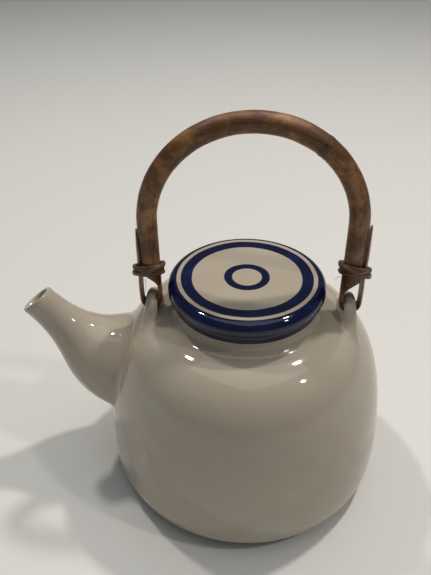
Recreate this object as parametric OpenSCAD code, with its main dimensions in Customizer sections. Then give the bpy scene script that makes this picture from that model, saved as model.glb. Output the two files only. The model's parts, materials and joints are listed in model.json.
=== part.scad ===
// Stoneware teapot with a flat banded lid and a bent cane handle.
// Millimetres. The origin is on the pot's axis where the foot meets the table.
// +Z is up, and the spout points along -X.

/* [Pot] */
// Largest radius of the pot
belly_r = 88; // [84:0.5:92]
// Height of the largest radius over the table
belly_z = 30; // [26:1:34]
// Height at which the shoulder's curve would close over the axis
crown_z = 121.6; // [119:0.2:123]
// Thickness of the thrown wall
wall = 4.5; // [3.5:0.1:5.5]
// Height of the cavity's floor
floor_z = 8; // [7:0.5:10]

/* [Foot and neck] */
// Outer radius of the ring foot
foot_r = 72; // [66:0.5:74]
// Width of the ring foot's face
foot_w = 6; // [4:0.5:8]
// Depth of the groove between the foot and the pot's lower edge
foot_h = 2.6; // [2:0.1:3]
// Outer radius of the neck
neck_r = 43.2; // [42:0.2:44]
// Radius of the neck's opening
mouth_r = 38; // [37:0.2:38.6]
// Height of the neck's top edge
rim_z = 133.7; // [132:0.1:133.7]
// Radius of the hollow curve from the shoulder into the neck
neck_fillet = 5.5; // [4:0.5:6]

/* [Spout] */
// Outer radius of the spout at its mouth
mouth_lip_r = 10.2; // [9:0.2:12]
// Outer radius of the spout where it leaves the pot
spout_root_r = 32; // [28:0.5:34]
// Thickness of the spout's wall at its root
spout_wall = 3.4; // [3:0.1:4]
// Thickness of the spout's wall at its lip
lip_wall = 2; // [1.6:0.1:2.4]
// How far the lower lip is drawn out to a beak
lip_beak = 1.3; // [0:0.1:1.5]
// Slope of the mouth from the front down to the back
mouth_tilt = 8; // [0:1:10]
// Diameter of each strainer hole
strainer_d = 5; // [4:0.25:6]
// Distance between neighbouring strainer holes
strainer_pitch = 8.6; // [8:0.2:9.4]

/* [Lugs] */
// Distance of each lug from the middle of the handle
lug_half_span = 58.4; // [58:0.1:58.8]
// Radius of the lug's opening
lug_hole_r = 6.6; // [6.4:0.1:7]
// Thickness of the lug's round section
lug_d = 6.5; // [6:0.1:6.8]

/* [Lid] */
// Largest radius of the lid
lid_r = 46.3; // [45:0.1:48]
// Height of the lid's flat top over the table
lid_top_z = 143.1; // [142:0.1:145]
// Radius of the lid's upper edge
lid_round = 5.2; // [4:0.1:6]
// Radius of the lid's lower edge
lid_under_round = 2.6; // [1.5:0.1:3]
// Outer radius of the flange that drops into the neck
flange_r = 36.6; // [35:0.1:36.8]
// Depth of the flange below the lid
flange_depth = 10; // [7:0.5:12]

/* [Handle] */
// Thickness of the cane
cane_d = 11.7; // [11:0.1:12]
// Radius of the bow, to the middle of the cane
bow_r = 58.2; // [58:0.1:58.4]
// Height of the bow's centre over the table
bow_z = 177.6; // [170:0.5:185]
// Distance of the handle's middle from the pot's axis
handle_shift = 2.2; // [1.8:0.1:2.4]
// Thickness of the tongue cut from each end
tongue_t = 2.2; // [1.8:0.1:2.2]
// Width of the tongue where it passes through the lug
tongue_w = 7.8; // [7:0.1:8]
// Height of the left tongue's tip over the table
tip_z = 174; // [170:0.5:176]
// How much higher the right tongue's tip reaches
tip_rise = 4.7; // [0:0.1:6]
// How much lower the right end of the cane is cut
cut_drop = 2.6; // [0:0.1:2.6]

/* [Bindings] */
// Thickness of a strand of split cane
strand_d = 2.6; // [2:0.1:2.6]
// Turns of strand in each binding
strand_turns = 3; // [2:1:4]
// Height of the left binding's lowest turn over the table
binding_z = 145; // [144.5:0.1:146]
// How much higher the right binding sits
binding_rise = 2; // [0:0.1:2]

/* [Hidden] */
$fn = 96;
clay = [0.80, 0.76, 0.69];
navy = [0.05, 0.07, 0.25];
cane_brown = [0.55, 0.36, 0.20];
strand_brown = [0.40, 0.27, 0.18];

// ---- the pot's wall, as radius against height ----
// Above the belly the wall is one superellipse, and below it another.
shoulder_power = 1.94;
shoulder_close = 5.83;
base_power = 3.86;
base_close = 9;
base_reach = 0.9;

function upper_r(z, r, top) =
    r * pow(1 - pow((z - belly_z) / (top - belly_z), shoulder_power), 1 / shoulder_close);
function lower_r(z, r, bottom) =
    r * pow(1 - pow((belly_z - z) / (belly_z - bottom), base_power), 1 / base_close);
function upper_z(r, belly, top) =
    belly_z + (top - belly_z) * pow(1 - pow(r / belly, shoulder_close), 1 / shoulder_power);

function arc(cx, cy, r, from, to, steps) =
    [for (i = [0:steps]) let (a = from + (to - from) * i / steps) [cx + r * cos(a), cy + r * sin(a)]];

// The shoulder meets the neck in a hollow curve.
fillet_x = neck_r + neck_fillet;
fillet_y = upper_z(fillet_x, belly_r, crown_z) + neck_fillet;
rim_round = 1.6;

outer_wall = concat(
    [for (z = [foot_h:2:belly_z - 2]) [lower_r(z, belly_r, -base_reach), z]],
    [for (z = [belly_z:4:106]) [upper_r(z, belly_r, crown_z), z]],
    [for (r = [70:-3:52]) [r, upper_z(r, belly_r, crown_z)]],
    arc(fillet_x, fillet_y, neck_fillet, 270, 180, 8),
    arc(neck_r - rim_round, rim_z - rim_round, rim_round, 0, 90, 4));

cavity_r = belly_r - wall;
cavity_top = crown_z - wall - 0.5;
cavity_bottom = floor_z - 0.6;
inner_wall = concat(
    arc(mouth_r + rim_round, rim_z - rim_round, rim_round, 90, 180, 4),
    [[mouth_r, upper_z(mouth_r, cavity_r, cavity_top)]],
    [for (r = [44:6:62]) [r, upper_z(r, cavity_r, cavity_top)]],
    [for (z = [104:-6:belly_z]) [upper_r(z, cavity_r, cavity_top), z]],
    [for (z = [belly_z - 6:-3:floor_z + 1]) [lower_r(z, cavity_r, cavity_bottom), z]],
    [[0, floor_z]]);

module pot_outline() {
    polygon(concat([[0, foot_h]], outer_wall, inner_wall));
}

// The pot's outer shape with nothing hollow, used to trim what is luted onto it.
module pot_filled() {
    rotate_extrude()
        polygon(concat([[0, foot_h]], outer_wall, [[0, rim_z]]));
}

module ring_foot() {
    rotate_extrude()
        translate([foot_r - foot_w, 0])
            square([foot_w, foot_h + 1]);
}

// Nineteen holes in rings of 1, 6 and 12, pierced through the wall behind the spout.
strainer_z = 78;
module strainer() {
    for (ring = [0:2], k = [0:max(0, 6 * ring - 1)]) {
        side = ring == 0 ? 0 : floor(k / ring);
        step = ring == 0 ? 0 : k % ring;
        y = strainer_pitch * (ring * cos(60 * side) + step * cos(60 * side + 120));
        z = strainer_pitch * (ring * sin(60 * side) + step * sin(60 * side + 120));
        translate([-belly_r, y, strainer_z + z])
            rotate([0, 90, 0])
                cylinder(d = strainer_d, h = 2 * wall + 14);
    }
}

module pot() {
    color(clay)
        difference() {
            union() {
                rotate_extrude()
                    pot_outline();
                ring_foot();
            }
            strainer();
        }
}

// ---- the spout: round rings along one curve in the XZ plane ----
// Each row is x, z and outer radius, from the root inside the pot to the lip.
spout_guide = [
    [-62, 72, spout_root_r],
    [-96, 80.5, spout_root_r],
    [-99, 90, 21.5],
    [-106, 96, mouth_lip_r],
    [-128, 124, mouth_lip_r]];
spout_rings = 18;
spout_sides = 32;

function mix(a, b, t) = a + (b - a) * t;
function guide_point(list, t) =
    len(list) == 1 ? list[0]
    : guide_point([for (i = [0:len(list) - 2]) mix(list[i], list[i + 1], t)], t);

// The last part of the spout leans into the slope of the mouth and the beak of its lower lip.
mouth_from = 0.86;
beak_spread = 32;
function mouth_share(t) = pow(max(0, (t - mouth_from) / (1 - mouth_from)), 2);
function beak(a, t) = lip_beak * mouth_share(t) * exp(-pow((a > 180 ? a - 360 : a) / beak_spread, 2));
function spout_ring(t, thinner) =
    let (p = guide_point(spout_guide, t),
         q = guide_point(spout_guide, min(1, t + 0.01)),
         o = guide_point(spout_guide, max(0, t - 0.01)),
         along = [q[0] - o[0], q[1] - o[1]] / norm([q[0] - o[0], q[1] - o[1]]))
    [for (i = [0:spout_sides - 1])
        let (a = 360 * i / spout_sides,
             r = p[2] + beak(a, t) - thinner * mix(spout_wall, lip_wall, t),
             lean = -r * sin(a) * tan(mouth_tilt) * mouth_share(t))
        [p[0] - along[1] * r * cos(a) + along[0] * lean,
         r * sin(a),
         p[1] + along[0] * r * cos(a) + along[1] * lean]];

// A tube skinned over rings of points, closed at both ends.
module skin(rings, sides) {
    last = (len(rings) - 1) * sides;
    polyhedron(
        points = [for (ring = rings, p = ring) p],
        faces = concat(
            [[for (i = [sides - 1:-1:0]) i]],
            [for (k = [0:len(rings) - 2], i = [0:sides - 1]) let (j = (i + 1) % sides)
                [k * sides + i, k * sides + j, (k + 1) * sides + j, (k + 1) * sides + i]],
            [[for (i = [0:sides - 1]) last + i]]),
        convexity = 6);
}

function shifted(ring, by) = [for (p = ring) p + by];
spout_from = 0.1;
mouth_along = [-22, 0, 28] / norm([-22, 0, 28]);

module spout() {
    places = [for (k = [0:spout_rings]) mix(spout_from, 1, k / spout_rings)];
    outer = [for (t = places) spout_ring(t, 0)];
    inner = [for (t = places) spout_ring(t, 1)];
    color(clay)
        difference() {
            skin(outer, spout_sides);
            skin(concat([shifted(inner[0], [2, 0, 0])], inner,
                [shifted(inner[spout_rings], mouth_along)]), spout_sides);
            pot_filled();
        }
}

// ---- the lugs: half rings that stand on the shoulder ----
lug_mid_r = lug_hole_r + lug_d / 2;
lug_z = upper_z(lug_half_span, belly_r, crown_z) + 1.2;

module lug(x) {
    color(clay)
        difference() {
            translate([x, 0, lug_z]) {
                rotate([90, 0, 90])
                    rotate_extrude(angle = 180)
                        translate([lug_mid_r, 0])
                            circle(d = lug_d, $fn = 48);
                for (side = [-1, 1])
                    hull() {
                        translate([0, side * lug_mid_r, 0.4])
                            sphere(d = lug_d, $fn = 32);
                        translate([0, side * (lug_mid_r + 1.6), -4])
                            sphere(d = lug_d + 1, $fn = 32);
                        translate([0, side * (lug_mid_r + 9), -5.5])
                            sphere(d = 5, $fn = 32);
                    }
            }
            pot_filled();
        }
}

module lug_left() {
    lug(handle_shift - lug_half_span);
}

module lug_right() {
    lug(handle_shift + lug_half_span);
}

// ---- the lid ----
lid_under_z = rim_z + 0.3;
flange_w = 4;
lid_hollow = 3.5;

module lid_outline() {
    edge_x = lid_r - lid_round;
    edge_z = lid_top_z - lid_round;
    under_x = lid_r - lid_under_round;
    under_z = lid_under_z + lid_under_round;
    translate([0, lid_under_z])
        square([edge_x, lid_top_z - lid_under_z]);
    intersection() {
        translate([edge_x, edge_z])
            circle(r = lid_round);
        translate([0, edge_z])
            square([2 * lid_r, lid_round]);
    }
    translate([0, lid_under_z])
        square([under_x, edge_z - lid_under_z]);
    translate([0, under_z])
        square([lid_r, edge_z - under_z]);
    translate([under_x, under_z])
        circle(r = lid_under_round);
    translate([flange_r - flange_w, lid_under_z - flange_depth])
        square([flange_w, flange_depth + 1]);
}

module lid() {
    color(navy)
        rotate_extrude()
            difference() {
                lid_outline();
                translate([0, lid_under_z - 1])
                    square([flange_r - flange_w, lid_hollow + 1]);
            }
}

// ---- the handle ----
// Heights of the slanting cut that leaves the tongue on the lid's side.
cut_high_z = 145.6;
cut_low_z = 138;
leg_r = cane_d / 2;
tongue_u = leg_r - tongue_t / 2;
// The pull of the loop under the lug is the handle's turning axis.
pivot_z = lug_z + lug_hole_r - 4.4;
// The knife's slanting cut is scooped: this is how hollow it is.
scoop = 1.25;

// One end of the bow, drawn on the side where outwards is +X.
module cane_leg(drop) {
    low = cut_low_z - drop;
    high = cut_high_z - drop;
    difference() {
        translate([0, 0, low])
            cylinder(r = leg_r, h = bow_z - low);
        // the slanting cut, with the tongue's root left standing
        rotate([90, 0, 0])
            translate([0, 0, -leg_r - 1])
                linear_extrude(2 * leg_r + 2)
                    polygon(concat(
                        [[tongue_t - leg_r, low - 1]],
                        [for (f = [0:10:90])
                            [leg_r - 1 - (2 * leg_r - 1 - tongue_t) * pow(cos(f), scoop),
                             low + (high - low) * pow(sin(f), scoop)]],
                        [[leg_r + 1, high + 0.4], [leg_r + 1, low - 1]]));
        // the flat shaved on the outside for the tongue's returning end
        rotate([90, 0, 0])
            translate([0, 0, -leg_r - 1])
                linear_extrude(2 * leg_r + 2)
                    polygon([[leg_r, bow_z - 2], [4.2, 150], [4.2, 130], [leg_r + 2, 130], [leg_r + 2, bow_z]]);
    }
}

module cane() {
    color(cane_brown)
        translate([handle_shift, 0, 0]) {
            translate([0, 0, bow_z])
                rotate([90, 0, 0])
                    rotate_extrude(angle = 180)
                        translate([bow_r, 0])
                            circle(r = leg_r);
            translate([bow_r, 0, 0])
                cane_leg(cut_drop);
            mirror([1, 0, 0])
                translate([bow_r, 0, 0])
                    cane_leg(0);
        }
}

// Centre line of the tongue: distance outwards from the cane's middle, height, thickness, half width.
loop_r = 5.75;
loop_z = pivot_z + loop_r;
half_w = tongue_w / 2;
function tongue_path(drop, tip) = concat(
    [[-tongue_u, cut_low_z - drop, tongue_t, 4.4], [-tongue_u, 131, tongue_t, 4.1]],
    [for (p = arc(loop_r - tongue_u, loop_z, loop_r, 180, 360, 16)) [p[0], p[1], tongue_t, half_w]],
    [[6.85, 131, tongue_t, 4.1], [6.85, 137, tongue_t, 4.4], [6.5, 143, tongue_t, 4.4],
     [6.3, 153, tongue_t, 4.4], [6.5, tip - 8, 1.4, 4.4], [6.6, tip, 0.6, 4.4]]);

// The tongue's section: round on the side of the cane's skin, flat where it was split.
function tongue_half(t, half) = min(half, sqrt(pow(leg_r, 2) - pow(leg_r - t, 2)) - 0.15);
function tongue_section(t, half) =
    concat(
        [for (s = [1:-0.25:-1]) let (y = s * tongue_half(t, half))
            [sqrt(pow(leg_r, 2) - y * y) - leg_r + t / 2, y]],
        [for (s = [-1:0.5:1]) [-t / 2, s * tongue_half(t, half)]]);
function tongue_ring(path, i) =
    let (a = path[max(0, i - 1)],
         b = path[min(len(path) - 1, i + 1)],
         d = [b[0] - a[0], b[1] - a[1]] / norm([b[0] - a[0], b[1] - a[1]]),
         p = path[i])
    [for (q = tongue_section(p[2], p[3])) [p[0] + d[1] * q[0], q[1], p[1] - d[0] * q[0]]];

module tongue(drop, tip) {
    path = tongue_path(drop, tip);
    rings = [for (i = [0:len(path) - 1]) tongue_ring(path, i)];
    skin(rings, len(rings[0]));
}

module tongue_right() {
    color(cane_brown)
        translate([handle_shift + bow_r, 0, 0])
            tongue(cut_drop, tip_z + tip_rise);
}

module tongue_left() {
    color(cane_brown)
        translate([handle_shift - bow_r, 0, 0])
            mirror([1, 0, 0])
                tongue(0, tip_z);
}

// ---- the bindings: turns of strand round the cane's end and the tongue ----
turn_r = leg_r + strand_d / 2 + 0.05;
turn_reach = 2.2;

// One turn: two half rings joined by two straight lengths.
module strand_turn() {
    translate([turn_reach, 0, 0])
        rotate([0, 0, -90])
            rotate_extrude(angle = 180)
                translate([turn_r, 0])
                    circle(d = strand_d, $fn = 32);
    rotate([0, 0, 90])
        rotate_extrude(angle = 180)
            translate([turn_r, 0])
                circle(d = strand_d, $fn = 32);
    for (side = [-1, 1])
        translate([0, side * turn_r, 0])
            rotate([0, 90, 0])
                cylinder(d = strand_d, h = turn_reach, $fn = 32);
}

module binding(low) {
    for (k = [0:strand_turns - 1])
        translate([0, 0, low + 0.95 * strand_d * k])
            strand_turn();
}

module binding_right() {
    color(strand_brown)
        translate([handle_shift + bow_r, 0, 0])
            binding(binding_z + binding_rise);
}

module binding_left() {
    color(strand_brown)
        translate([handle_shift - bow_r, 0, 0])
            mirror([1, 0, 0])
                binding(binding_z);
}

pot();
spout();
lug_left();
lug_right();
lid();
cane();
tongue_left();
tongue_right();
binding_left();
binding_right();
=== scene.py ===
import json
import math

import bmesh
import bpy
from mathutils import Matrix, Vector, noise
from mathutils.bvhtree import BVHTree


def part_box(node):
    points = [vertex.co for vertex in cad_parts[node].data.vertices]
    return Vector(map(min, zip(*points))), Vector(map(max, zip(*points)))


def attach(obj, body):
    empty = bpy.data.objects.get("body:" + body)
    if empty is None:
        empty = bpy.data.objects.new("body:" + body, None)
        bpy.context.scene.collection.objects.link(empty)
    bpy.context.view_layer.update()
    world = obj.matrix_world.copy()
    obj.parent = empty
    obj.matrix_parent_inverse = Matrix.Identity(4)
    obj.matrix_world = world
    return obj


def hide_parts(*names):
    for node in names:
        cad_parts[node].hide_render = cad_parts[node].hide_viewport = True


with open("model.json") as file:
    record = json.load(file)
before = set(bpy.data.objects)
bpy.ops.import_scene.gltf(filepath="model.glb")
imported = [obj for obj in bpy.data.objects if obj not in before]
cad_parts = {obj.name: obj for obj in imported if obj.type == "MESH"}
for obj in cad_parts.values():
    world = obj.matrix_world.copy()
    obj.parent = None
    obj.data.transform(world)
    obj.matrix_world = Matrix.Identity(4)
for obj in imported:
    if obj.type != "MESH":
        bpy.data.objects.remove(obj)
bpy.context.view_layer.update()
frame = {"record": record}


# ---------------------------------------------------------------- pot
# The pot is thrown stoneware: a wide belly, a short neck with a painted navy
# band, and a ring foot turned out of the base. It is glazed in glossy cream with
# iron specks, and wiped bare under the foot and on the neck's top edge.

mm = 0.001
pot_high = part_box("pot")[1]
belly_r = pot_high.y / mm
rim_z = pot_high.z / mm
belly_z = 30
crown_z = 121.6
wall = 4.5
foot_r = 72
foot_h = 2.6
neck_r = 43.2
mouth_r = 38
band_low_z = 128.4
band_high_z = 133.2
shoulder_power = 1.94
shoulder_close = 5.83
base_power = 3.86
base_close = 9
base_bottom = -0.9
wheel_steps = 160


def upper_r(z, belly, top):
    """Radius of the wall above the belly."""
    return belly * (1 - ((z - belly_z) / (top - belly_z)) ** shoulder_power) ** (1 / shoulder_close)


def upper_z(r, belly, top):
    """Height of the shoulder at a radius."""
    return belly_z + (top - belly_z) * (1 - (r / belly) ** shoulder_close) ** (1 / shoulder_power)


def lower_r(z, belly, bottom):
    """Radius of the wall below the belly."""
    return belly * (1 - ((belly_z - z) / (belly_z - bottom)) ** base_power) ** (1 / base_close)


def spread(low, high, count):
    """Evenly spaced values, both ends included."""
    return [low + (high - low) * i / (count - 1) for i in range(count)]


def arc(x, z, r, start, end, count):
    """Points round part of a circle, with its angles in degrees."""
    turns = [math.radians(a) for a in spread(start, end, count)]
    return [(x + r * math.cos(a), z + r * math.sin(a)) for a in turns]


def turned(profile):
    """A closed shape turned on the wheel from a profile of radius and height."""
    bm = bmesh.new()
    verts = [bm.verts.new((r, 0, z)) for r, z in profile]
    edges = [bm.edges.new(pair) for pair in zip(verts, verts[1:])]
    bmesh.ops.spin(bm, geom=verts + edges, cent=(0, 0, 0), axis=(0, 0, 1), dvec=(0, 0, 0),
                   angle=math.tau, steps=wheel_steps, use_merge=True)
    bmesh.ops.remove_doubles(bm, verts=bm.verts, dist=0.001)
    bmesh.ops.recalc_face_normals(bm, faces=bm.faces)
    return bm


def made_piece(bm, name, material, body, replaced, subdivide=0):
    """Turns a mesh in millimetres into a smooth piece in metres that rides on its body."""
    bmesh.ops.scale(bm, vec=(mm, mm, mm), verts=bm.verts)
    mesh = bpy.data.meshes.new(name)
    bm.to_mesh(mesh)
    bm.free()
    mesh.shade_smooth()
    piece = bpy.data.objects.new(name, mesh)
    bpy.context.scene.collection.objects.link(piece)
    mesh.materials.append(material)
    if subdivide:
        finish = piece.modifiers.new("smooth", "SUBSURF")
        finish.levels = subdivide
        finish.render_levels = subdivide
    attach(piece, body)
    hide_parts(*replaced)
    return piece


fillet = 5.5
fillet_x = neck_r + fillet
fillet_z = upper_z(fillet_x, belly_r, crown_z) + fillet
cavity_r = belly_r - wall
cavity_top = crown_z - wall - 0.5
cavity_bottom = 7.4
floor_z = 8
foot_inner_r = foot_r - 6
foot_round = 0.9
rim_round = 1.6
edge_z = foot_h + 0.6
base_r = lower_r(foot_h, belly_r, base_bottom)

outside = (
    [(0, edge_z), (foot_inner_r - 1.5, edge_z)]
    + arc(foot_inner_r - 0.2, edge_z - 1.3, 1.3, 90, 0, 4)
    + arc(foot_inner_r + 2, foot_round, foot_round, 180, 270, 4)
    + arc(foot_r - foot_round, foot_round, foot_round, 270, 360, 4)
    + [(foot_r, edge_z - 0.2), (foot_r + 0.3, edge_z)]
    + [(base_r - 1.4, edge_z), (base_r - 0.5, foot_h + 0.15)]
    + [(lower_r(z, belly_r, base_bottom), z) for z in [2.8, 3.4, 4.2, 5.2, 6.6, 8.4, 11, 14, 18, 23]]
    + [(upper_r(z, belly_r, crown_z), z) for z in spread(belly_z, 108, 30)]
    + [(r, upper_z(r, belly_r, crown_z)) for r in spread(69, 51, 10)]
    + arc(fillet_x, fillet_z, fillet, 270, 180, 9)
    + [(neck_r, z) for z in spread(127, 131.4, 3)]
    + arc(neck_r - rim_round, rim_z - rim_round, rim_round, 0, 90, 5))
inside = (
    arc(mouth_r + rim_round, rim_z - rim_round, rim_round, 90, 180, 5)
    + [(mouth_r, 124), (mouth_r, upper_z(mouth_r, cavity_r, cavity_top) + 1.5)]
    + [(r, upper_z(r, cavity_r, cavity_top)) for r in spread(39, 63, 9)]
    + [(upper_r(z, cavity_r, cavity_top), z) for z in spread(104, belly_z, 20)]
    + [(lower_r(z, cavity_r, cavity_bottom), z) for z in spread(26, floor_z + 0.4, 9)]
    + [(30, floor_z), (0, floor_z)])

pot_mesh = turned(outside + inside)
pot_skin = BVHTree.FromBMesh(pot_mesh)

# The strainer: one hole, a ring of six and a ring of twelve, pierced behind the spout.
strainer_x = -84
strainer_z = 78
strainer_pitch = 8.6
hole_r = 2.5
drill_length = 26


def loose(bm, name):
    """A mesh put in the scene for a moment, so that a modifier can use it."""
    mesh = bpy.data.meshes.new(name)
    bm.to_mesh(mesh)
    bm.free()
    thing = bpy.data.objects.new(name, mesh)
    bpy.context.scene.collection.objects.link(thing)
    return thing


def pierced(bm):
    """The pot's mesh with the strainer holes cut through its wall."""
    drills = bmesh.new()
    for row in range(-2, 3):
        count = 5 - abs(row)
        for k in range(count):
            y = (k - (count - 1) / 2) * strainer_pitch
            z = strainer_z + row * strainer_pitch * math.sqrt(3) / 2
            place = Matrix.Translation((strainer_x, y, z)) @ Matrix.Rotation(math.pi / 2, 4, "Y")
            bmesh.ops.create_cone(drills, cap_ends=True, segments=24, radius1=hole_r, radius2=hole_r,
                                  depth=drill_length, matrix=place)
    body = loose(bm, "body")
    drill = loose(drills, "drills")
    cut = body.modifiers.new("strainer", "BOOLEAN")
    cut.operation = "DIFFERENCE"
    cut.solver = "EXACT"
    cut.object = drill
    result = bmesh.new()
    result.from_mesh(body.evaluated_get(bpy.context.evaluated_depsgraph_get()).to_mesh())
    bpy.data.objects.remove(body)
    bpy.data.objects.remove(drill)
    return result


# Shader helpers: every glaze and cane finish below is built from these.
def new_finish(name):
    """A material with its node tree and its one shader."""
    material = bpy.data.materials.new(name)
    material.use_nodes = True
    return material, material.node_tree, material.node_tree.nodes["Principled BSDF"]


def add(tree, kind, **settings):
    """A node with its settings; an argument named in_X sets input X."""
    node = tree.nodes.new(kind)
    for key, value in settings.items():
        if key.startswith("in_"):
            node.inputs[key[3:].replace("_", " ")].default_value = value
        else:
            setattr(node, key, value)
    return node


def math_node(tree, operation, a, b=None):
    """A math node on sockets or plain numbers."""
    node = tree.nodes.new("ShaderNodeMath")
    node.operation = operation
    for socket, value in zip(node.inputs, (a, b)):
        if value is None:
            continue
        if isinstance(value, bpy.types.NodeSocket):
            tree.links.new(value, socket)
        else:
            socket.default_value = value
    return node.outputs[0]


def fade(tree, value, low, high, out_low=0.0, out_high=1.0):
    """A value brought smoothly from one range to another and held at its ends."""
    node = add(tree, "ShaderNodeMapRange", interpolation_type="SMOOTHSTEP")
    tree.links.new(value, node.inputs["Value"])
    for name, number in (("From Min", low), ("From Max", high), ("To Min", out_low), ("To Max", out_high)):
        node.inputs[name].default_value = number
    return node.outputs["Result"]


def blend_colour(tree, factor, a, b):
    """One colour over another by a factor; each is a socket or a plain colour."""
    node = add(tree, "ShaderNodeMix", data_type="RGBA")
    if isinstance(factor, bpy.types.NodeSocket):
        tree.links.new(factor, node.inputs["Factor"])
    else:
        node.inputs["Factor"].default_value = factor
    for socket, value in ((node.inputs[6], a), (node.inputs[7], b)):
        if isinstance(value, bpy.types.NodeSocket):
            tree.links.new(value, socket)
        else:
            socket.default_value = (*value, 1)
    return node.outputs[2]


def cloud(tree, place, scale, detail=2.0, roughness=0.5, distortion=0.0):
    """Soft noise at a scale in turns per metre."""
    node = add(tree, "ShaderNodeTexNoise", in_Scale=scale, in_Detail=detail,
               in_Roughness=roughness, in_Distortion=distortion)
    tree.links.new(place, node.inputs["Vector"])
    return node.outputs["Fac"]


def specks(tree, place, per_metre, low, high):
    """Round spots of mixed size, one at most in each cell."""
    cells = add(tree, "ShaderNodeTexVoronoi", in_Scale=per_metre)
    tree.links.new(place, cells.inputs["Vector"])
    channels = add(tree, "ShaderNodeSeparateColor")
    tree.links.new(cells.outputs["Color"], channels.inputs["Color"])
    size = fade(tree, channels.outputs["Red"], 0.45, 1.0, low, high)
    edge = math_node(tree, "SUBTRACT", size, cells.outputs["Distance"])
    spot = fade(tree, edge, 0.0, 0.02)
    strength = fade(tree, channels.outputs["Green"], 0.2, 1.0, 0.15, 1.0)
    return math_node(tree, "MULTIPLY", spot, strength)


cream = (0.450, 0.396, 0.318)
cream_warm = (0.448, 0.382, 0.298)
cream_pale = (0.462, 0.418, 0.345)
iron = (0.07, 0.05, 0.035)
navy = (0.0018, 0.0045, 0.035)
navy_thin = (0.004, 0.012, 0.080)
bare_clay = (0.42, 0.29, 0.21)


def cream_glaze(tree, place):
    """The colour of cream glaze over speckled stoneware."""
    tone = blend_colour(tree, fade(tree, cloud(tree, place, 14, 3), 0.35, 0.65), cream, cream_warm)
    tone = blend_colour(tree, fade(tree, cloud(tree, place, 33, 4), 0.5, 0.75), tone, cream_pale)
    middling = specks(tree, place, 150, 0.0, 0.06)
    small = specks(tree, place, 330, 0.0, 0.07)
    large = specks(tree, place, 70, -0.06, 0.055)
    spots = math_node(tree, "MAXIMUM", math_node(tree, "MAXIMUM", middling, small), large)
    return blend_colour(tree, math_node(tree, "MULTIPLY", spots, 0.9), tone, iron)


def glaze_surface(tree, shader, place, throwing=0.25):
    """Gloss and the faint unevenness of a thrown and dipped surface."""
    tree.links.new(fade(tree, cloud(tree, place, 60, 3), 0.3, 0.7, 0.035, 0.07), shader.inputs["Roughness"])
    shader.inputs["IOR"].default_value = 1.52
    parts = add(tree, "ShaderNodeSeparateXYZ")
    tree.links.new(place, parts.inputs["Vector"])
    rings = cloud_along(tree, parts.outputs["Z"])
    ripple = math_node(tree, "ADD", cloud(tree, place, 45, 2), math_node(tree, "MULTIPLY", rings, throwing))
    bump = add(tree, "ShaderNodeBump", in_Strength=0.30, in_Distance=0.0004)
    tree.links.new(ripple, bump.inputs["Height"])
    tree.links.new(bump.outputs["Normal"], shader.inputs["Normal"])


def cloud_along(tree, height):
    """The uneven rings that fingers leave on a turning wall."""
    node = add(tree, "ShaderNodeTexNoise", noise_dimensions="1D", in_Scale=260.0, in_Detail=2.0)
    tree.links.new(height, node.inputs["W"])
    return node.outputs["Fac"]


def height_and_radius(tree, place):
    """Height over the table and distance from the wheel's axis, in metres."""
    parts = add(tree, "ShaderNodeSeparateXYZ")
    tree.links.new(place, parts.inputs["Vector"])
    x = parts.outputs["X"]
    y = parts.outputs["Y"]
    squares = math_node(tree, "ADD", math_node(tree, "MULTIPLY", x, x), math_node(tree, "MULTIPLY", y, y))
    return parts.outputs["Z"], math_node(tree, "SQRT", squares)


def pot_finish():
    """Cream glaze with the navy band on the neck, and bare clay where the glaze is wiped off."""
    material, tree, shader = new_finish("pot_glaze")
    place = add(tree, "ShaderNodeTexCoord").outputs["Object"]
    height, radius = height_and_radius(tree, place)
    glaze_surface(tree, shader, place)
    colour = cream_glaze(tree, place)
    sway = math_node(tree, "SUBTRACT", cloud(tree, place, 90, 2), 0.5)
    wobble = math_node(tree, "MULTIPLY", sway, 0.5 * mm)
    brushed = math_node(tree, "ADD", height, wobble)
    above = fade(tree, brushed, (band_low_z - 0.15) * mm, (band_low_z + 0.15) * mm)
    below = fade(tree, brushed, (band_high_z - 0.15) * mm, (band_high_z + 0.15) * mm, 1, 0)
    outer = fade(tree, radius, (mouth_r + 2.5) * mm, (mouth_r + 3.0) * mm)
    band = math_node(tree, "MULTIPLY", math_node(tree, "MULTIPLY", above, below), outer)
    colour = blend_colour(tree, band, colour, navy)
    wiped = math_node(tree, "MAXIMUM", fade(tree, height, 1.6 * mm, 2.4 * mm, 1, 0),
                      fade(tree, height, (rim_z - 0.35) * mm, (rim_z - 0.15) * mm))
    colour = blend_colour(tree, wiped, colour, bare_clay)
    tree.links.new(colour, shader.inputs["Base Color"])
    return material


pot_glaze = pot_finish()
pot = made_piece(pierced(pot_mesh), "pot_body", pot_glaze, "pot", ["pot"])
pot.data.set_sharp_from_angle(angle=math.radians(50))


# ---------------------------------------------------------------- spout
# The spout is thrown apart, cut, and luted to the wall over a strainer of
# nineteen pierced holes. Its joint is smoothed into the wall with a wet finger,
# and its cut lip is wiped nearly bare.

spout_guide = [(-62, 72, 32), (-96, 80.5, 32), (-99, 90, 21.5), (-106, 96, 10.2), (-128, 124, 10.2)]
spout_wall = 3.4
lip_wall = 2.6
lip_beak = 1.3
beak_spread = 32
mouth_tilt = math.radians(8)
mouth_from = 0.86
mouth_way = Vector((-22, 0, 28)).normalized()
lip_from = 0.9915
spout_sides = 64
wiped_lip = (0.40, 0.325, 0.25)


def guide_point(points, t):
    """A point on the one smooth curve that a list of guide points pulls."""
    while len(points) > 1:
        points = [tuple(a + (b - a) * t for a, b in zip(p, q)) for p, q in zip(points, points[1:])]
    return points[0]


def mouth_share(t):
    """How much a place on the spout belongs to the mouth."""
    return max(0.0, (t - mouth_from) / (1 - mouth_from)) ** 2


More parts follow.
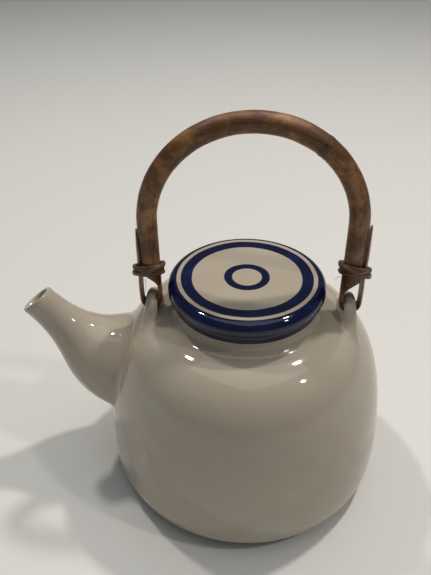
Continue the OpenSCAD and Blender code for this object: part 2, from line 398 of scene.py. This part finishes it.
def lower_share(turn, width):
    """How near a turn is to the spout's lower side, from 0 to 1."""
    off = (turn + math.pi) % math.tau - math.pi
    return math.exp(-(off / math.radians(width)) ** 2)


def spout_point(turn, t, thinner=0.0):
    """A point of the spout's skin, or of its channel where thinner is 1."""
    x, z, r = guide_point(spout_guide, t)
    ahead = guide_point(spout_guide, t + 0.005)
    behind = guide_point(spout_guide, t - 0.005)
    along = Vector((ahead[0] - behind[0], 0, ahead[1] - behind[1])).normalized()
    across = Vector((-along.z, 0, along.x))
    trough = min(1, max(0, (1 - t) / 0.05)) * min(1, max(0, (t - 0.8) / 0.1))
    r += lip_beak * mouth_share(t) * lower_share(turn, beak_spread)
    r -= thinner * (spout_wall + (lip_wall - spout_wall) * t + 1.3 * trough * lower_share(turn, 45))
    lean = -r * math.sin(turn) * math.tan(mouth_tilt) * mouth_share(t)
    return Vector((x, 0, z)) + across * r * math.cos(turn) + Vector((0, r * math.sin(turn), 0)) + along * lean


def in_pot(p):
    """Whether a point is inside the pot's outer shape."""
    r = math.hypot(p.x, p.y)
    if p.z < belly_z:
        return r < lower_r(p.z, belly_r, base_bottom)
    return p.z < crown_z and r < upper_r(p.z, belly_r, crown_z)


def meets_pot(turn, thinner):
    """How far along the spout a line of its skin comes out of the pot."""
    low, high = 0.0, 0.8
    for _ in range(30):
        middle = (low + high) / 2
        if in_pot(spout_point(turn, middle, thinner)):
            low = middle
        else:
            high = middle
    return high


def on_pot(p, depth=0.0):
    """The nearest point of the pot's skin, or that far under it."""
    place, normal, _, _ = pot_skin.find_nearest(p)
    return place - normal * depth


def pull_ring(bm, edges, turn_layer, placed):
    """Pulls a ring of edges out to new places, one for each turn round the ring."""
    pulled = bmesh.ops.extrude_edge_only(bm, edges=edges)["geom"]
    for v in pulled:
        if isinstance(v, bmesh.types.BMVert):
            v.co = placed[round(v[turn_layer])]
    return [e for e in pulled if isinstance(e, bmesh.types.BMEdge)]


def first_ring(bm, sides):
    """A ring of vertices that know their turn, to be pulled into a tube."""
    turn_layer = bm.verts.layers.float.new("turn")
    ring = bmesh.ops.create_circle(bm, segments=sides, radius=1)["verts"]
    for i, v in enumerate(ring):
        v[turn_layer] = i
    return turn_layer, list({e for v in ring for e in v.link_edges})


def smeared_joint(centre, corner, end, smear, count):
    """Rows of a hollow smeared with a wet finger, tangent to the pot's wall where they start."""
    starts = []
    bends = []
    feet = []
    for p, reach in zip(corner, smear):
        out = (p - centre).normalized()
        start, normal, _, _ = pot_skin.find_nearest(p + out * reach)
        inward = p - start
        bends.append(start + inward - normal * inward.dot(normal))
        starts.append(start)
        feet.append((on_pot(start + out * 1.6, 2.0), on_pot(start + out * 1.0, 0.14)))
    rows = [[deep for deep, _ in feet], [shallow for _, shallow in feet]]
    for s in spread(0, 1, count):
        rows.append([a * (1 - s) ** 2 + c * 2 * s * (1 - s) + e * s ** 2
                     for a, c, e in zip(starts, bends, end)])
    return rows


def spout_rows():
    """Rows of places from the pot's wall, over the skin and lip, and back down the channel."""
    turns = [math.tau * i / spout_sides for i in range(spout_sides)]
    met = [meets_pot(a, 0) for a in turns]
    met_inside = [meets_pot(a, 1) for a in turns]
    joint = [spout_point(a, t) for a, t in zip(turns, met)]
    centre = sum(joint, Vector()) / len(joint)
    tops = [(1 - math.cos(a)) / 2 for a in turns]
    run = [0.028 + 0.04 * s for s in tops]
    on_skin = [spout_point(a, t + d) for a, t, d in zip(turns, met, run)]
    rows = smeared_joint(centre, joint, on_skin, [2.4 + 3.6 * s for s in tops], 9)
    for s in spread(0, 1, 26)[1:]:
        rows.append([spout_point(a, t + d + (lip_from - t - d) * s) for a, t, d in zip(turns, met, run)])
    x, z, _ = guide_point(spout_guide, lip_from)
    tip = Vector((x, 0, z))
    edge = rows[-1]
    for a in (30, 60, 90, 120, 150):
        lift = mouth_way * 1.15 * math.sin(math.radians(a))
        inward = lip_wall / 2 * (1 - math.cos(math.radians(a)))
        rows.append([p + (tip - p).normalized() * inward + lift for p in edge])
    for s in spread(0, 1, 22):
        rows.append([spout_point(a, lip_from + (t - lip_from) * s, 1) for a, t in zip(turns, met_inside)])
    rows.append([on_pot(p, 2.0) for p in rows[-1]])
    return rows


def spout_shape():
    """The spout's skin, lip and channel in one, pulled from its smeared joint."""
    bm = bmesh.new()
    turn_layer, edges = first_ring(bm, spout_sides)
    rows = spout_rows()
    for v in bm.verts:
        v.co = rows[0][round(v[turn_layer])]
    first = list(edges)
    for row in rows[1:]:
        edges = pull_ring(bm, edges, turn_layer, row)
    bmesh.ops.bridge_loops(bm, edges=first + edges)
    bmesh.ops.recalc_face_normals(bm, faces=bm.faces)
    return bm


def spout_finish():
    """Cream glaze, wiped thin on the lip."""
    material, tree, shader = new_finish("spout_glaze")
    place = add(tree, "ShaderNodeTexCoord").outputs["Object"]
    glaze_surface(tree, shader, place, 0.1)
    reach = add(tree, "ShaderNodeVectorMath", operation="DOT_PRODUCT")
    tree.links.new(place, reach.inputs[0])
    reach.inputs[1].default_value = mouth_way
    lip_x, lip_z, _ = spout_guide[-1]
    lip = mouth_way.dot(Vector((lip_x, 0, lip_z))) * mm
    uneven = math_node(tree, "MULTIPLY", cloud(tree, place, 160, 2), 0.9 * mm)
    wiped = fade(tree, math_node(tree, "ADD", reach.outputs["Value"], uneven), lip - 0.2 * mm, lip + 0.5 * mm)
    colour = blend_colour(tree, wiped, cream_glaze(tree, place), wiped_lip)
    tree.links.new(colour, shader.inputs["Base Color"])
    return material


spout = made_piece(spout_shape(), "spout_skin", spout_finish(), "pot", ["spout"])


# ---------------------------------------------------------------- lugs
# Two lugs stand on the shoulder: short ropes of clay bent to arches and luted
# down, with the ends smeared out along the shoulder. They are glazed with the pot.

lug_sides = 32
lug_r = 3.25
lug_mid_r = 9.85
rope_half_width = 3.4
rope_half_depth = 3.15


def lug_rows(x):
    """Rows of places along one lug, from its front foot over the arch to its back foot."""
    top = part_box("lug_left" if x < 0 else "lug_right")[1].z / mm
    spring = top - lug_r - lug_mid_r
    turns = [math.tau * i / lug_sides for i in range(lug_sides)]
    arch = []
    for a in spread(26, 154, 19):
        out = Vector((0, -math.cos(math.radians(a)), math.sin(math.radians(a))))
        middle = Vector((x, 0, spring)) + out * lug_mid_r
        swell = 1 + 0.9 * (abs(a - 90) / 90) ** 4
        half_width = rope_half_width * swell
        arch.append([middle + Vector((half_width * math.cos(t), 0, 0)) + out * rope_half_depth * math.sin(t)
                     for t in turns])

    def foot(ring, side):
        """Rows of one smeared end, from the shoulder up to the arch."""
        down = Vector((0, side * 0.44, -0.90))
        corner = []
        for p in ring:
            hit = pot_skin.ray_cast(p, down)[0]
            corner.append(hit if hit is not None else on_pot(p))
        centre = sum(corner, Vector()) / len(corner)
        smear = [3.2 + (3.6 if (p - centre).y * side > 0 else 0.4) * abs((p - centre).y) / 4 for p in corner]
        return smeared_joint(centre, corner, ring, smear, 10)[:-1]

    return foot(arch[0], -1) + arch + list(reversed(foot(arch[-1], 1)))


def lug_shape(x):
    """One lug, pulled from its front foot to its back foot."""
    bm = bmesh.new()
    turn_layer, edges = first_ring(bm, lug_sides)
    rows = lug_rows(x)
    for v in bm.verts:
        v.co = rows[0][round(v[turn_layer])]
    bmesh.ops.contextual_create(bm, geom=edges)
    for row in rows[1:]:
        edges = pull_ring(bm, edges, turn_layer, row)
    bmesh.ops.contextual_create(bm, geom=edges)
    bmesh.ops.recalc_face_normals(bm, faces=bm.faces)
    return bm


def lug_finish():
    """The pot's glaze without the rings of throwing."""
    material, tree, shader = new_finish("lug_glaze")
    place = add(tree, "ShaderNodeTexCoord").outputs["Object"]
    glaze_surface(tree, shader, place, 0.0)
    tree.links.new(cream_glaze(tree, place), shader.inputs["Base Color"])
    return material


lug_glaze = lug_finish()
for side in ("left", "right"):
    low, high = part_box("lug_" + side)
    middle_x = (low.x + high.x) / 2 / mm
    made_piece(lug_shape(middle_x), "lug_" + side + "_arch", lug_glaze, "pot", ["lug_" + side])


# ---------------------------------------------------------------- lid
# The lid is a thick flat disc with a full round edge that overhangs the neck,
# and a flange below that drops into it. Navy rings are painted on the cream
# while it turns on the wheel, so their edges waver a little.

lid_low, lid_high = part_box("lid")
lid_r = 46.3
lid_top = lid_high.z / mm
lid_under = rim_z + 0.3
flange_r = 36.6
flange_low = lid_low.z / mm
edge_round = 5.2
under_round = 2.6
painted_rings = ((8.7, 13.4), (32.1, 38.6), (41.0, 60.0))
brush_edge = 0.22

lid_profile = (
    [(0, lid_top - 0.35), (6, lid_top - 0.34), (14, lid_top - 0.28)]
    + [(24, lid_top - 0.14), (33, lid_top - 0.03), (37.5, lid_top)]
    + arc(lid_r - edge_round, lid_top - edge_round, edge_round, 90, 0, 12)
    + arc(lid_r - under_round, lid_under + under_round, under_round, 0, -90, 8)
    + [(40, lid_under), (flange_r + 0.8, lid_under)]
    + arc(flange_r + 0.5, lid_under - 0.5, 0.5, 90, 180, 3)
    + [(flange_r, lid_under - 4)]
    + arc(flange_r - 1.2, flange_low + 1.2, 1.2, 0, -90, 5)
    + arc(flange_r - 2.8, flange_low + 1.2, 1.2, 270, 180, 5)
    + [(flange_r - 4, lid_under - 3)]
    + arc(flange_r - 6, lid_under + 1.5, 2, 0, 90, 5)
    + [(20, lid_under + 3.5), (0, lid_under + 3.5)])


def lid_finish():
    """Cream glaze under navy rings, which run on over the lid's edge."""
    material, tree, shader = new_finish("lid_glaze")
    place = add(tree, "ShaderNodeTexCoord").outputs["Object"]
    height, radius = height_and_radius(tree, place)
    glaze_surface(tree, shader, place, 0.0)
    sway = math_node(tree, "SUBTRACT", cloud(tree, place, 55, 2), 0.5)
    waver = math_node(tree, "MULTIPLY", sway, 0.9 * mm)
    brushed = math_node(tree, "ADD", radius, waver)
    painted = None
    for inner, outer in painted_rings:
        start = fade(tree, brushed, (inner - brush_edge) * mm, (inner + brush_edge) * mm)
        end = fade(tree, brushed, (outer - brush_edge) * mm, (outer + brush_edge) * mm, 1, 0)
        ring = math_node(tree, "MULTIPLY", start, end)
        painted = ring if painted is None else math_node(tree, "MAXIMUM", painted, ring)
    above = fade(tree, height, (lid_under + 0.3) * mm, (lid_under + 0.8) * mm)
    painted = math_node(tree, "MULTIPLY", painted, above)
    thin = fade(tree, cloud(tree, place, 70, 3), 0.45, 0.8)
    blue = blend_colour(tree, thin, navy, navy_thin)
    tree.links.new(blend_colour(tree, painted, cream_glaze(tree, place), blue), shader.inputs["Base Color"])
    return material


lid = made_piece(turned(lid_profile), "lid_disc", lid_finish(), "lid", ["lid"])


# ---------------------------------------------------------------- cane
# The handle is one length of thick cane, steamed and bent to a bow. Its skin is
# brown and mottled, with fine fibres along it and one joint of growth. Each end
# is cut on the slant and down to a thin tongue on the lid's side.

cane_low, cane_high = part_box("cane")
cane_r = 5.85
bow_x = (cane_low.x + cane_high.x) / 2 / mm
bow_r = (cane_high.x - cane_low.x) / 2 / mm - cane_r
bow_z = cane_high.z / mm - bow_r - cane_r
leg_low = 130
leg_cut_from = 150
growth = bow_z - leg_low + math.radians(52) * bow_r
cane_sides = 40
cut_high_z = 145.6
cut_low_z = 138
tongue_t = 2.2
scoop = 1.25
fine_grain = Vector((0.5, 0.5, 0.2)).length
cut_drop = {-1: 0.0, 1: 2.6}
tip_z = {-1: 174.0, 1: 178.7}


def cut_height(u, side):
    """Height of the scooped knife cut at a distance outwards from the cane's middle."""
    low = cut_low_z - cut_drop[side]
    root = tongue_t - cane_r
    edge = cane_r - 1
    share = min(1, max(0, (edge - u) / (edge - root)))
    return low + (cut_high_z - cut_low_z) * math.sin(math.acos(share ** (1 / scoop))) ** scoop


def cane_line():
    """Frames along the cane: middle, outward direction, way along, and length so far."""
    leg = bow_z - leg_low
    frames = []
    level = leg_cut_from - leg_low
    for s in spread(level, leg, 12)[:-1]:
        frames.append((Vector((bow_x + bow_r, 0, leg_low + s)), Vector((1, 0, 0)), s))
    for a in spread(0, 180, 91):
        out = Vector((math.cos(math.radians(a)), 0, math.sin(math.radians(a))))
        frames.append((Vector((bow_x, 0, bow_z)) + out * bow_r, out, leg + math.radians(a) * bow_r))
    for s in spread(0, leg - level, 12)[1:]:
        frames.append((Vector((bow_x - bow_r, 0, bow_z - s)), Vector((-1, 0, 0)), leg + math.pi * bow_r + s))
    return frames


def joint_swell(length):
    """The low ridge and the hollow after it, where the cane has its joint of growth."""
    ridge = 0.28 * math.exp(-((length - growth) / 1.5) ** 2)
    return ridge - 0.12 * math.exp(-((length - growth - 2.6) / 1.2) ** 2)


def cane_shape():
    """The bow with its two cut and shaved ends, pulled as one tube."""
    bm = bmesh.new()
    turn_layer, edges = first_ring(bm, cane_sides)
    straight = bm.verts.layers.float_vector.new("straight")
    turns = [math.tau * i / cane_sides for i in range(cane_sides)]
    rows = []
    for middle, out, length in cane_line():
        swell = joint_swell(length)
        ring = []
        for a in turns:
            unbent = Vector((cane_r * math.cos(a), cane_r * math.sin(a), length))
            rough = 0.14 * noise.noise(unbent * 0.11) + 0.05 * noise.noise(unbent * fine_grain)
            r = cane_r - 0.12 + swell + rough
            ring.append((middle + out * r * math.cos(a) + Vector((0, r * math.sin(a), 0)), unbent))
        rows.append(ring)

    rows = list(reversed(cut_end(rows[0], 1))) + rows + cut_end(rows[-1], -1)
    settle(bm.verts, rows[0], turn_layer, straight)
    close_cut(bm, edges, turn_layer)
    edges = pull_rows(bm, edges, rows, turn_layer, straight)
    close_cut(bm, edges, turn_layer)
    for side in (-1, 1):
        shave(bm, bow_x + side * bow_r, side)
    bmesh.ops.recalc_face_normals(bm, faces=bm.faces)
    return bm


def settle(verts, row, turn_layer, straight):
    """Sets the places and the unbent places of one ring."""
    for v in verts:
        v.co, v[straight] = row[round(v[turn_layer])]


def pull_rows(bm, edges, rows, turn_layer, straight):
    """Pulls a tube on through all its rows after the first."""
    for row in rows[1:]:
        pulled = bmesh.ops.extrude_edge_only(bm, edges=edges)["geom"]
        settle([v for v in pulled if isinstance(v, bmesh.types.BMVert)], row, turn_layer, straight)
        edges = [e for e in pulled if isinstance(e, bmesh.types.BMEdge)]
    return edges


def cut_end(row, side):
    """Rows that carry the cane's end down to the knife cut."""
    leg_x = bow_x + side * bow_r
    rows = []
    for s in spread(0, 1, 9)[1:]:
        ring = []
        for p, unbent in row:
            fall = (p.z - cut_height((p.x - leg_x) * side, side)) * s
            ring.append((p - Vector((0, 0, fall)), unbent - Vector((0, 0, fall * side))))
        rows.append(ring)
    return rows


def close_cut(bm, edges, turn_layer):
    """Closes the cut with strips from the front of the cane to its back."""
    ring = {round(v[turn_layer]): v for e in edges for v in e.verts}
    for k in range(cane_sides // 2):
        strip = {ring[k], ring[k + 1], ring[(cane_sides - k) % cane_sides], ring[cane_sides - k - 1]}
        bmesh.ops.contextual_create(bm, geom=list(strip))


def shave(bm, leg_x, side):
    """Presses the cane's outer side flat where the tongue comes back up."""
    top = (bow_z - 2, cane_r)
    bottom = (leg_cut_from, 4.2)
    for v in bm.verts:
        u = (v.co.x - leg_x) * side
        if v.co.z > top[0] or v.co.x * side < 0:
            continue
        s = min(1, (top[0] - v.co.z) / (top[0] - bottom[0]))
        flat = top[1] + (bottom[1] - top[1]) * s
        if u > flat:
            v.co.x = leg_x + side * flat


cane_dark = (0.060, 0.023, 0.007)
cane_mid = (0.185, 0.074, 0.020)
cane_pale = (0.345, 0.160, 0.052)
pore_black = (0.018, 0.009, 0.004)
scar_black = (0.025, 0.012, 0.006)


def cane_finish(name, lighter=0.0):
    """Cane skin: fibres along the length, mottling, dark pores and a waxy gloss."""
    material, tree, shader = new_finish(name)
    place = add(tree, "ShaderNodeAttribute", attribute_name="straight").outputs["Vector"]
    drawn = add(tree, "ShaderNodeMapping", in_Scale=(1.0, 1.0, 0.06))
    tree.links.new(place, drawn.inputs["Vector"])
    fibre = cloud(tree, drawn.outputs["Vector"], 1.9, 5, 0.7)
    blotch = cloud(tree, place, 0.07, 4, 0.6, 0.6)
    tone = blend_colour(tree, fade(tree, fibre, 0.35, 0.7), cane_dark, cane_mid)
    mottle = fade(tree, blotch, 0.42 - lighter, 0.70 - lighter)
    tone = blend_colour(tree, mottle, tone, cane_pale)
    streak = fade(tree, cloud(tree, drawn.outputs["Vector"], 0.7, 3), 0.52, 0.72, 0, 0.55)
    tone = blend_colour(tree, streak, tone, cane_dark)
    pores = specks(tree, place, 0.42, 0.0, 0.13)
    tone = blend_colour(tree, math_node(tree, "MULTIPLY", pores, 0.75), tone, pore_black)
    parts = add(tree, "ShaderNodeSeparateXYZ")
    tree.links.new(place, parts.inputs["Vector"])
    scar_at = growth + 2.0
    off = math_node(tree, "ABSOLUTE", math_node(tree, "SUBTRACT", parts.outputs["Z"], scar_at))
    ragged = math_node(tree, "ADD", off, math_node(tree, "MULTIPLY", cloud(tree, place, 0.5, 2), 1.6))
    scar = fade(tree, ragged, 0.7, 1.9, 0.85, 0)
    tone = blend_colour(tree, scar, tone, scar_black)
    tree.links.new(tone, shader.inputs["Base Color"])
    tree.links.new(fade(tree, fibre, 0.3, 0.7, 0.50, 0.36), shader.inputs["Roughness"])
    bump = add(tree, "ShaderNodeBump", in_Strength=0.5, in_Distance=0.0003)
    pits = math_node(tree, "MULTIPLY", pores, 0.6)
    tree.links.new(math_node(tree, "SUBTRACT", fibre, pits), bump.inputs["Height"])
    tree.links.new(bump.outputs["Normal"], shader.inputs["Normal"])
    return material


cane = made_piece(cane_shape(), "cane_bow", cane_finish("cane_skin"), "handle", ["cane"])


# ---------------------------------------------------------------- tongues
# Each tongue is the thin end of the same cane. It goes down on the lid's side,
# through the lug, and back up outside, where its tapered tip stands free above
# the binding. Its skin side is round and its cut side is flat.

pivot_z = frame["record"]["behaviour"]["joints"][1]["pos_m"][2] / mm
loop_r = 5.75
tongue_u = cane_r - tongue_t / 2
strip_spread = {-1: 0.0, 1: 0.5}
tongue_sides = 24


def tongue_line(side):
    """Outward distance, height, thickness and half width along the tongue."""
    low = cut_low_z - cut_drop[side]
    tip = tip_z[side]
    spread_out = strip_spread[side]
    line = [(-tongue_u + 0.2, low + 5, 1.0, 3.4), (-tongue_u + 0.1, low + 2, 1.6, 4.0),
            (-tongue_u, low - 0.2, tongue_t, 4.3), (-tongue_u, 131, tongue_t, 4.1)]
    for u, z in arc(loop_r - tongue_u, pivot_z + loop_r, loop_r, 180, 360, 19):
        line.append((u, z, tongue_t, 3.9))
    line += [(6.85, 131, tongue_t, 4.1), (6.85, 137, tongue_t, 4.4), (6.5, 143, tongue_t, 4.4),
             (6.35 + spread_out / 3, 150, 2.3, 4.4)]
    free_end = [(6.35, 156, 2.3, 4.4), (6.45, (156 + tip) / 2, 1.9, 4.4), (6.5, tip - 5, 1.2, 4.0),
                (6.55, tip - 1.5, 0.8, 2.2), (6.6, tip, 0.4, 0.6)]
    return line + [(u + spread_out, z, thick, half) for u, z, thick, half in free_end]


def tongue_section(thick, half):
    """Points round the tongue: round on the skin's side, flat where it was split."""
    reach = min(half, math.sqrt(cane_r ** 2 - (cane_r - thick) ** 2) - 0.1)
    rim = math.sqrt(cane_r ** 2 - reach ** 2) - cane_r + thick / 2
    middle = (rim - thick / 2) / 2
    points = []
    for k in range(tongue_sides):
        a = math.tau * k / tongue_sides
        across = reach * math.copysign(abs(math.cos(a)) ** 0.7, math.cos(a))
        skin = math.sqrt(cane_r ** 2 - across ** 2) - cane_r + thick / 2
        face = skin if math.sin(a) > 0 else -thick / 2
        share = min(1, abs(math.sin(a)) / 0.4) ** 0.6
        points.append((across, middle + (face - middle) * share))
    return points


def tongue_shape(side):
    """One tongue, pulled along its line from the cane's end to its free tip."""
    bm = bmesh.new()
    turn_layer, edges = first_ring(bm, tongue_sides)
    straight = bm.verts.layers.float_vector.new("straight")
    line = tongue_line(side)
    leg_x = bow_x + side * bow_r
    length = 0
    rows = []
    for i, (u, z, thick, half) in enumerate(line):
        before = line[max(0, i - 1)]
        after = line[min(len(line) - 1, i + 1)]
        along = Vector((after[0] - before[0], 0, after[1] - before[1])).normalized()
        skin = Vector((along.z, 0, -along.x))
        length += math.hypot(u - before[0], z - before[1])
        ring = []
        for across, deep in tongue_section(thick, half):
            p = Vector((u, across, z)) + skin * deep
            unbent = Vector((across, deep + 3 * side, length + 40))
            ring.append((Vector((leg_x + side * p.x, p.y, p.z)), unbent))
        rows.append(ring)
    settle(bm.verts, rows[0], turn_layer, straight)
    bmesh.ops.contextual_create(bm, geom=edges)
    edges = pull_rows(bm, edges, rows, turn_layer, straight)
    bmesh.ops.contextual_create(bm, geom=edges)
    bmesh.ops.recalc_face_normals(bm, faces=bm.faces)
    return bm


tongue_skin = cane_finish("tongue_skin", 0.03)
for side, sign in (("left", -1), ("right", 1)):
    made_piece(tongue_shape(sign), "tongue_" + side + "_loop", tongue_skin, "handle",
               ["tongue_" + side], subdivide=1)


# ---------------------------------------------------------------- bindings
# Each end is bound with strips of split cane, wound wet so that their turns
# cross each other and shrink tight. One fibre strays from each binding.

turn_r = 6.75
turn_reach = 2.3
strand_sides = 12
strand_steps = 120
fibre_sides = 6
fibre_r = 0.16
stray_fibre = {-1: [(-58.8, -5, 143.5), (-58.2, -6, 139), (-59.2, -6, 136.5), (-58.7, -5.5, 134)],
               1: [(53.0, -4, 147), (51.0, -5, 147.2), (50.4, -5, 146), (50.0, -5, 144.8)]}


def round_the_leg(s):
    """Place and outward direction at a share of the way round the cane's end and the tongue."""
    bend = math.pi * turn_r
    total = 2 * (turn_reach + bend)
    d = (s % 1) * total
    if d < turn_reach:
        return Vector((d, -turn_r, 0)), Vector((0, -1, 0))
    d -= turn_reach
    if d < bend:
        a = d / turn_r - math.pi / 2
        out = Vector((math.cos(a), math.sin(a), 0))
        return Vector((turn_reach, 0, 0)) + out * turn_r, out
    d -= bend
    if d < turn_reach:
        return Vector((turn_reach - d, turn_r, 0)), Vector((0, 1, 0))
    a = (d - turn_reach) / turn_r + math.pi / 2
    out = Vector((math.cos(a), math.sin(a), 0))
    return out * turn_r, out


def strand(bm, layers, side, level, crossing, lift, half, thick, seed):
    """One strip of split cane wound once round; crossing is how far it climbs over its neighbours."""
    turn_layer, straight = layers
    leg_x = bow_x + side * bow_r
    low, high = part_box("binding_left" if side < 0 else "binding_right")
    binding_z = (low.z + high.z) / 2 / mm
    around = 2 * turn_reach + math.tau * turn_r
    ring = bmesh.ops.create_circle(bm, segments=strand_sides, radius=1)["verts"]
    for i, v in enumerate(ring):
        v[turn_layer] = i

    def middle(s):
        """Middle of the strip, its outward direction and its turn, at a share of the way round."""
        place, out = round_the_leg(s)
        turn = math.tau * (s - turn_reach / 2 / around)
        stray = noise.noise(Vector((math.cos(turn) * 1.3, math.sin(turn) * 1.3, seed)))
        rise = level * (0.86 + 0.14 * math.cos(2 * turn)) - crossing * math.sin(turn) + 0.5 * stray
        rise -= 0.35 * place.y + (0.12 * place.x if side > 0 else 0)
        return place + out * (lift + 0.25 * stray) + Vector((0, 0, rise)), out, turn

    rows = []
    for i in range(strand_steps):
        here, out, turn = middle(i / strand_steps)
        along = (middle((i + 1) / strand_steps)[0] - middle((i - 1) / strand_steps)[0]).normalized()
        lean = Matrix.Rotation(0.30 * math.sin(3 * turn + seed), 3, along)
        face = (lean @ out).normalized()
        edge = along.cross(face).normalized()
        row = []
        for k in range(strand_sides):
            a = math.tau * k / strand_sides
            wide = half * math.copysign(abs(math.cos(a)) ** 0.8, math.cos(a))
            deep = thick * math.sin(a)
            p = here + edge * wide + face * deep
            p = Vector((leg_x + side * p.x, p.y, binding_z + p.z))
            row.append((p, Vector((wide + 11 * seed, deep, around * i / strand_steps))))
        rows.append(row)
    first = list({e for v in ring for e in v.link_edges})
    settle(ring, rows[0], turn_layer, straight)
    edges = pull_rows(bm, first, rows, turn_layer, straight)
    bmesh.ops.bridge_loops(bm, edges=first + edges)


def fibre(bm, layers, points):
    """A stray fibre that tapers from its root to its end."""
    turn_layer, straight = layers
    ring = bmesh.ops.create_circle(bm, segments=fibre_sides, radius=1)["verts"]
    for i, v in enumerate(ring):
        v[turn_layer] = i
    rows = []
    for s in spread(0, 1, 12):
        here = Vector(guide_point(points, s))
        along = (Vector(guide_point(points, s + 0.01)) - Vector(guide_point(points, s - 0.01))).normalized()
        edge = along.cross(Vector((0, 1, 0))).normalized()
        face = along.cross(edge)
        size = fibre_r * (1 - 0.7 * s)
        rows.append([(here + edge * size * math.cos(a) + face * size * math.sin(a), here)
                     for a in (math.tau * k / fibre_sides for k in range(fibre_sides))])
    edges = list({e for v in ring for e in v.link_edges})
    settle(ring, rows[0], turn_layer, straight)
    bmesh.ops.contextual_create(bm, geom=edges)
    edges = pull_rows(bm, edges, rows, turn_layer, straight)
    bmesh.ops.contextual_create(bm, geom=edges)


def binding_shape(side):
    """Two turns side by side, two more that cross over them, and a stray fibre."""
    bm = bmesh.new()
    layers = (bm.verts.layers.float.new("turn"), bm.verts.layers.float_vector.new("straight"))
    strand(bm, layers, side, 2.0, 0.7, 0.1, 1.65, 0.9, 1 + 2 * side)
    strand(bm, layers, side, -2.0, 0.7, 0.1, 1.65, 0.9, 2 + 2 * side)
    strand(bm, layers, side, 0.0, 2.6, 1.1, 1.35, 0.8, 7 + side)
    strand(bm, layers, side, -0.4, -1.8, 0.9, 0.9, 0.7, 12 + side)
    fibre(bm, layers, stray_fibre[side])
    bmesh.ops.recalc_face_normals(bm, faces=bm.faces)
    return bm


split_dark = (0.022, 0.010, 0.005)
split_brown = (0.195, 0.100, 0.054)
split_pale = (0.25, 0.14, 0.085)


def split_cane_finish():
    """Split cane: dull brown strips with fibres along them."""
    material, tree, shader = new_finish("split_cane")
    place = add(tree, "ShaderNodeAttribute", attribute_name="straight").outputs["Vector"]
    drawn = add(tree, "ShaderNodeMapping", in_Scale=(1.0, 1.0, 0.05))
    tree.links.new(place, drawn.inputs["Vector"])
    grain = cloud(tree, drawn.outputs["Vector"], 2.6, 4, 0.7)
    tone = blend_colour(tree, fade(tree, grain, 0.3, 0.7), split_dark, split_brown)
    tone = blend_colour(tree, fade(tree, cloud(tree, place, 0.16, 3), 0.55, 0.75), tone, split_pale)
    tree.links.new(tone, shader.inputs["Base Color"])
    shader.inputs["Roughness"].default_value = 0.42
    bump = add(tree, "ShaderNodeBump", in_Strength=0.6, in_Distance=0.0003)
    tree.links.new(grain, bump.inputs["Height"])
    tree.links.new(bump.outputs["Normal"], shader.inputs["Normal"])
    return material


split_cane = split_cane_finish()
for side, sign in (("left", -1), ("right", 1)):
    made_piece(binding_shape(sign), "binding_" + side + "_strands", split_cane, "handle",
               ["binding_" + side])


# ---------------------------------------------------------------- studio
# A pale painted floor, small lamps on both sides with one large lamp overhead,
# and the view from in front and above.

lamp_cream = (1.0, 0.93, 0.84)
lamp_white = (0.98, 0.99, 1.0)
room_blue = (0.80, 0.90, 0.96, 1)
floor_grey = (0.76, 0.755, 0.735)
floor_pale = (0.79, 0.785, 0.765)
eye = Vector((-0.0015, -0.2931, 0.3445))


def studio_floor():
    """A wide flat floor, which takes no part in the teapot."""
    bm = bmesh.new()
    bmesh.ops.create_grid(bm, x_segments=1, y_segments=1, size=10.0)
    mesh = bpy.data.meshes.new("floor")
    bm.to_mesh(mesh)
    bm.free()
    floor = bpy.data.objects.new("floor", mesh)
    bpy.context.scene.collection.objects.link(floor)
    material, tree, shader = new_finish("floor_paint")
    place = add(tree, "ShaderNodeTexCoord").outputs["Object"]
    tone = blend_colour(tree, cloud(tree, place, 2.0, 2), floor_grey, floor_pale)
    tree.links.new(tone, shader.inputs["Base Color"])
    shader.inputs["Roughness"].default_value = 0.55
    mesh.materials.append(material)


def lamp(name, place, aim, size, power, colour):
    """A square soft light, aimed at a point."""
    data = bpy.data.lights.new(name, "AREA")
    data.size = size
    data.energy = power
    data.color = colour
    light = bpy.data.objects.new(name, data)
    bpy.context.scene.collection.objects.link(light)
    light.location = place
    light.rotation_euler = (Vector(aim) - Vector(place)).to_track_quat("-Z", "Y").to_euler()


studio_floor()
world = bpy.data.worlds.new("room")
world.use_nodes = True
world.node_tree.nodes["Background"].inputs["Color"].default_value = room_blue
world.node_tree.nodes["Background"].inputs["Strength"].default_value = 0.15
bpy.context.scene.world = world
lamp("key_right", (0.55, 0.45, 1.5), (0, 0, 0.1), 0.09, 9.5, lamp_cream)
lamp("key_left", (-0.60, 0.50, 1.5), (0, 0, 0.1), 0.09, 6.5, lamp_cream)
lamp("front_right", (0.95, -0.35, 1.3), (0, 0, 0.1), 0.07, 3.5, lamp_cream)
lamp("ceiling", (0.1, 0.1, 1.9), (0, 0, 0), 1.6, 7.0, lamp_white)

view = bpy.data.cameras.new("view")
view.sensor_width = 36
view.lens = 38.1913
view.clip_start = 0.01
camera = bpy.data.objects.new("view", view)
bpy.context.scene.collection.objects.link(camera)
turned_left = Matrix.Rotation(math.radians(3.3), 4, "Z")
tipped_down = Matrix.Rotation(math.radians(90 - 35.56), 4, "X")
rolled = Matrix.Rotation(math.radians(-0.68), 4, "Z")
camera.matrix_world = Matrix.Translation(eye) @ turned_left @ tipped_down @ rolled
bpy.context.scene.camera = camera
bpy.context.scene.view_settings.view_transform = "Standard"
